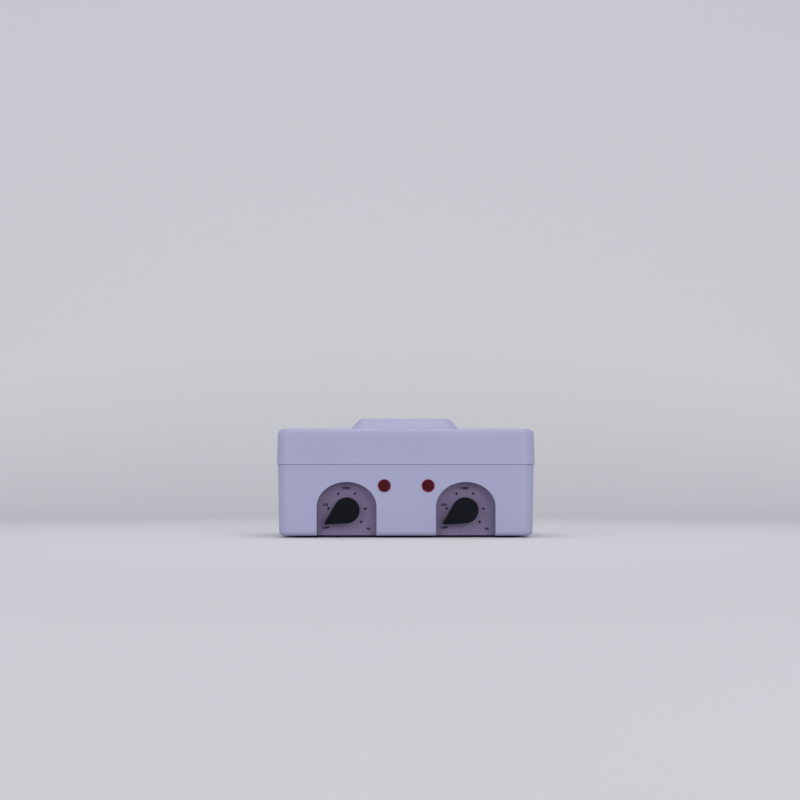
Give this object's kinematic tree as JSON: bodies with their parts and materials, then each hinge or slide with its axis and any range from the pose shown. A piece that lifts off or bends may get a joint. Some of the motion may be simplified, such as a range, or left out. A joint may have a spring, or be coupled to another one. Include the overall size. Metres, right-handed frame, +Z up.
{
  "type": "double wax warmer",
  "caption": "Boxed electric warmer with a lift-off lid, heated wells with lift-out pots on bails, and arched front pockets with pointer knobs and pilot lamps.",
  "frame": {"origin": "middle of the footprint, on the surface that the feet stand on", "axes": "+X to the right along the width, +Y to the back, +Z up; the knobs face -Y"},
  "size_m": [0.3386, 0.205, 0.1595],
  "materials": {
    "shell_plastic": "satin moulded lavender-white plastic",
    "dial_plastic": "fine matt grey plastic with printed marks",
    "knob_plastic": "satin black moulded plastic",
    "lamp_plastic": "clear dark red lens",
    "dark_plastic": "matt dark plastic",
    "rubber": "matt rubber",
    "aluminium": "drawn aluminium, softly brushed",
    "steel": "plated steel",
    "ceramic": "unglazed ceramic",
    "lead_rubber": "silicone lead insulation"
  },
  "bodies": {
    "housing": {"lower_housing": "shell_plastic", "top_deck": "shell_plastic", "cord_gland": "dark_plastic", "terminal_block": "ceramic", "front_left_foot": "rubber", "front_right_foot": "rubber", "back_right_foot": "rubber", "back_left_foot": "rubber", "deck_screw_1": "steel", "deck_screw_2": "steel", "deck_screw_3": "steel", "deck_screw_4": "steel", "deck_screw_5": "steel", "deck_screw_6": "steel", "left_dial_plate": "dial_plastic", "left_panel_nut": "steel", "left_thermostat": "ceramic", "left_lamp_lens": "lamp_plastic", "left_lamp_holder": "dark_plastic", "left_well": "aluminium", "left_retaining_ring": "steel", "left_ring_screw_1": "steel", "left_ring_screw_2": "steel", "left_heater_band": "steel", "left_band_screw": "steel", "left_cut_out": "ceramic", "left_supply_lead": "lead_rubber", "left_lamp_lead": "lead_rubber", "left_heater_lead": "lead_rubber", "left_cut_out_lead": "lead_rubber", "right_dial_plate": "dial_plastic", "right_panel_nut": "steel", "right_thermostat": "ceramic", "right_lamp_lens": "lamp_plastic", "right_lamp_holder": "dark_plastic", "right_well": "aluminium", "right_retaining_ring": "steel", "right_ring_screw_1": "steel", "right_ring_screw_2": "steel", "right_heater_band": "steel", "right_band_screw": "steel", "right_cut_out": "ceramic", "right_supply_lead": "lead_rubber", "right_lamp_lead": "lead_rubber", "right_heater_lead": "lead_rubber", "right_cut_out_lead": "lead_rubber"},
    "lid": {"lid": "shell_plastic"},
    "left_pot": {"left_pot": "aluminium", "left_pot_ear_1": "aluminium", "left_pot_ear_2": "aluminium"},
    "left_bail": {"left_bail": "steel"},
    "left_knob": {"left_knob": "knob_plastic", "left_shaft": "steel"},
    "right_pot": {"right_pot": "aluminium", "right_pot_ear_1": "aluminium", "right_pot_ear_2": "aluminium"},
    "right_bail": {"right_bail": "steel"},
    "right_knob": {"right_knob": "knob_plastic", "right_shaft": "steel"}
  },
  "joints": [
    {"name": "lid_lift", "type": "slide", "parent": "housing", "child": "lid", "axis": [0, 0, 1], "range_m": [0, 0.17]},
    {"name": "left_pot_lift", "type": "slide", "parent": "housing", "child": "left_pot", "axis": [0, 0, 1], "range_m": [0, 0.0851]},
    {"name": "left_bail_swing", "type": "hinge", "parent": "left_pot", "child": "left_bail", "pos_m": [-0.076, 0.01, 0.1041], "axis": [1, 0, 0], "range_deg": [0, 94.8]},
    {"name": "left_knob_turn", "type": "hinge", "parent": "housing", "child": "left_knob", "pos_m": [-0.0778, -0.09, 0.0357], "axis": [0, 1, 0], "range_deg": [0, 250]},
    {"name": "right_pot_lift", "type": "slide", "parent": "housing", "child": "right_pot", "axis": [0, 0, 1], "range_m": [0, 0.0851]},
    {"name": "right_bail_swing", "type": "hinge", "parent": "right_pot", "child": "right_bail", "pos_m": [0.076, 0.01, 0.1041], "axis": [1, 0, 0], "range_deg": [0, 94.8]},
    {"name": "right_knob_turn", "type": "hinge", "parent": "housing", "child": "right_knob", "pos_m": [0.0778, -0.09, 0.0357], "axis": [0, 1, 0], "range_deg": [0, 250]}
  ],
  "couplings": [
    {"joint": "left_pot_lift", "follows": "lid_lift", "ratio": 0.5},
    {"joint": "left_bail_swing", "follows": "lid_lift", "rad_per_m": 9.7276},
    {"joint": "right_pot_lift", "follows": "lid_lift", "ratio": 0.5},
    {"joint": "right_bail_swing", "follows": "lid_lift", "rad_per_m": 9.7276}
  ]
}
